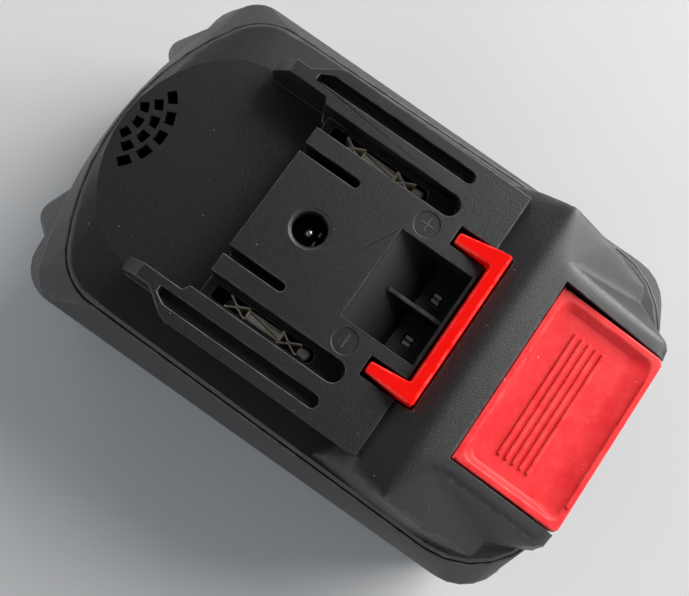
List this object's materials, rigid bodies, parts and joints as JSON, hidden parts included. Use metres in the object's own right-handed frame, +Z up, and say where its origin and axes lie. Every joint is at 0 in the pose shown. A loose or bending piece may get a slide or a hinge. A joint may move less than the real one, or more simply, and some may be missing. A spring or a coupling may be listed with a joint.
{
  "type": "power tool battery pack",
  "caption": "Slide-on rechargeable battery pack: dark case with slide rails, terminal plate, charging hole and a sprung red release latch with hook and thumb button.",
  "frame": {"origin": "middle of the pack's bounding box, on the flat face that it rests on", "axes": "+X towards the release button, +Y across the pack to the side of the plus sign, +Z up through the terminal plate"},
  "size_m": [0.1178, 0.0744, 0.0597],
  "materials": {
    "case_plastic": "fine spark-eroded grain",
    "cover_plastic": "fine sparkling grain, smoother on the rear plateau",
    "latch_plastic": "semi-gloss red",
    "spring_steel": "drawn wire",
    "cell_wrap": "shrink sleeve",
    "holder_plastic": "plain moulded",
    "nickel": "rolled strip",
    "insulating_paper": "pressed paper",
    "black_plastic": "plain moulded",
    "board": "solder mask",
    "contact_metal": "dull warm nickel plating",
    "plated_metal": "bright plating",
    "capacitor_sleeve": "printed sleeve, left plain",
    "ceramic": "plain",
    "screw_steel": "zinc plated"
  },
  "bodies": {
    "pack": {"bottom_case": "case_plastic", "top_cover": "cover_plastic", "latch_spring_left": "spring_steel", "latch_spring_right": "spring_steel", "cell_1": "cell_wrap", "cell_2": "cell_wrap", "cell_3": "cell_wrap", "cell_4": "cell_wrap", "cell_5": "cell_wrap", "cell_6": "cell_wrap", "cell_7": "cell_wrap", "cell_8": "cell_wrap", "cell_9": "cell_wrap", "cell_10": "cell_wrap", "cell_holder_left": "holder_plastic", "cell_holder_right": "holder_plastic", "nickel_strip_left_1": "nickel", "nickel_strip_left_2": "nickel", "nickel_strip_left_3": "nickel", "nickel_strip_right_1": "nickel", "nickel_strip_right_2": "nickel", "nickel_strip_right_3": "nickel", "end_paper_left": "insulating_paper", "end_paper_right": "insulating_paper", "insulating_sheet": "insulating_paper", "board_tray": "black_plastic", "circuit_board": "board", "positive_contact": "contact_metal", "negative_contact": "contact_metal", "signal_contact_left": "contact_metal", "signal_contact_right": "contact_metal", "jack_body": "black_plastic", "jack_pin": "plated_metal", "jack_springs": "plated_metal", "power_switches": "black_plastic", "capacitor": "capacitor_sleeve", "control_chip": "black_plastic", "fuse": "ceramic", "positive_lead": "nickel", "negative_lead": "nickel", "temperature_sensor": "black_plastic", "case_screws": "screw_steel"},
    "latch": {"release_latch": "latch_plastic"}
  },
  "joints": [
    {"name": "latch_slide", "type": "slide", "parent": "pack", "child": "latch", "axis": [0, 0, -1], "range_m": [0, 0.004], "stiffness_N_per_m": 2000, "springref_m": -0.003, "deforming": ["latch_spring_left", "latch_spring_right"]}
  ]
}
